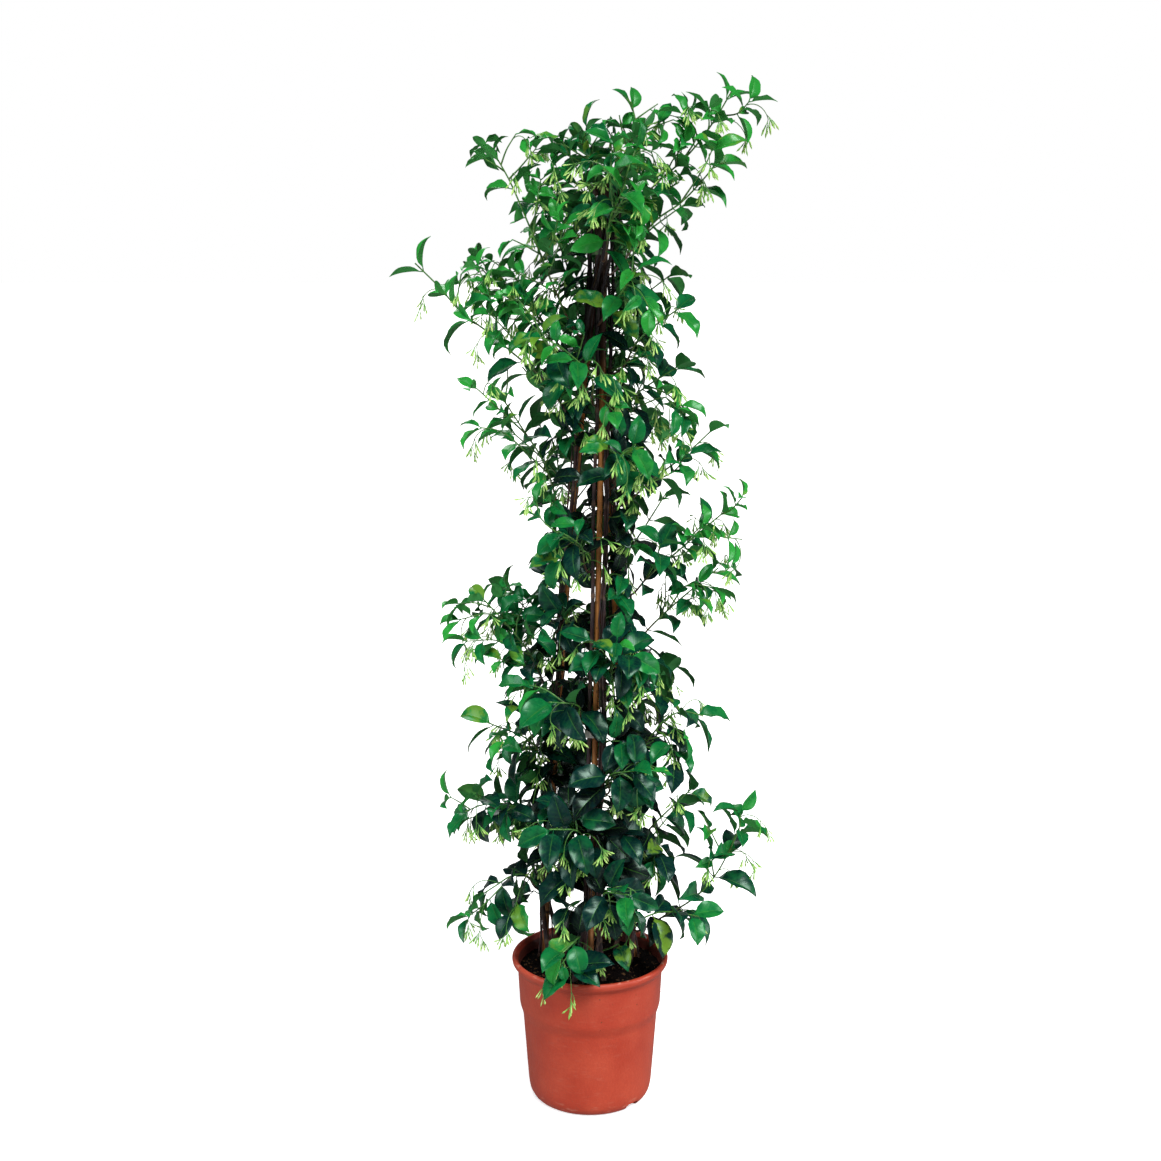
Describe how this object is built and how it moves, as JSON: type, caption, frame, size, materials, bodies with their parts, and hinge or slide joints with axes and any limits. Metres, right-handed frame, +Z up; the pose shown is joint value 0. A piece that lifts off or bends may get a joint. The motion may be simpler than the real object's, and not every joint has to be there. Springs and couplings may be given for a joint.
{
  "type": "potted star jasmine",
  "caption": "Evergreen climbing jasmine with opposite leaves and hanging buds, trained up a tripod of canes in a round plastic nursery pot.",
  "frame": {"origin": "centre of the pot's flat underside, on the surface that the pot stands on", "axes": "+Z up along the tripod, +X to the right and -Y towards the viewer in the picture"},
  "size_m": [0.4449, 0.2789, 1.2171],
  "materials": {
    "pot": "satin terracotta-coloured plastic, faintly mottled",
    "soil": "dark peat and bark compost, matte",
    "cane": "tan split-brown bamboo with nodes, satin",
    "bark": "thin reddish-brown bark, matte",
    "tie": "green plastic band, satin",
    "clip": "pale translucent plastic, satin",
    "leaf": "glossy evergreen leaf, dark to mid green, with pale buds"
  },
  "bodies": {
    "root": {"pot": "pot", "soil": "soil", "cane_left": "cane", "cane_front": "cane", "cane_right": "cane", "vine_left_outer": "bark", "vine_left_inner": "bark", "vine_front_left": "bark", "vine_front_right": "bark", "vine_right_outer": "bark", "vine_right_inner": "bark", "cane_tie": "tie", "plant_clip": "clip", "shoot_top_right_high": "leaf", "shoot_top_right_low": "leaf", "shoot_top_right_back": "leaf", "shoot_top_middle": "leaf", "shoot_top_middle_left": "leaf", "shoot_top_back": "leaf", "shoot_top_front": "leaf", "shoot_top_left": "leaf", "shoot_top_left_back": "leaf", "shoot_left_long": "leaf", "shoot_left_upper": "leaf", "shoot_left_upper_front": "leaf", "shoot_left_high_back": "leaf", "shoot_left_mid_high": "leaf", "shoot_left_mid_back": "leaf", "shoot_right_upper": "leaf", "shoot_right_upper_back": "leaf", "shoot_right_upper_low": "leaf", "shoot_right_high_back": "leaf", "shoot_right_mid_high": "leaf", "shoot_right_mid": "leaf", "shoot_right_mid_low": "leaf", "shoot_right_mid_back": "leaf", "shoot_left_mid_low": "leaf", "shoot_left_mid_low_back": "leaf", "shoot_right_low_high": "leaf", "shoot_right_low_back": "leaf", "shoot_low_right": "leaf", "shoot_low_right_under": "leaf", "shoot_low_right_high": "leaf", "shoot_low_right_back": "leaf", "shoot_low_left": "leaf", "shoot_low_left_under": "leaf", "shoot_low_left_high": "leaf", "shoot_low_left_back": "leaf", "shoot_front_lowest": "leaf", "shoot_front_low_right": "leaf", "shoot_front_low_left": "leaf", "shoot_front_mid_low": "leaf", "shoot_front_mid_left": "leaf", "shoot_front_mid_right": "leaf", "shoot_front_high_left": "leaf", "shoot_front_high_right": "leaf", "shoot_front_top_left": "leaf", "shoot_front_top_right": "leaf", "shoot_back_low": "leaf", "shoot_back_high": "leaf"}
  },
  "joints": []
}
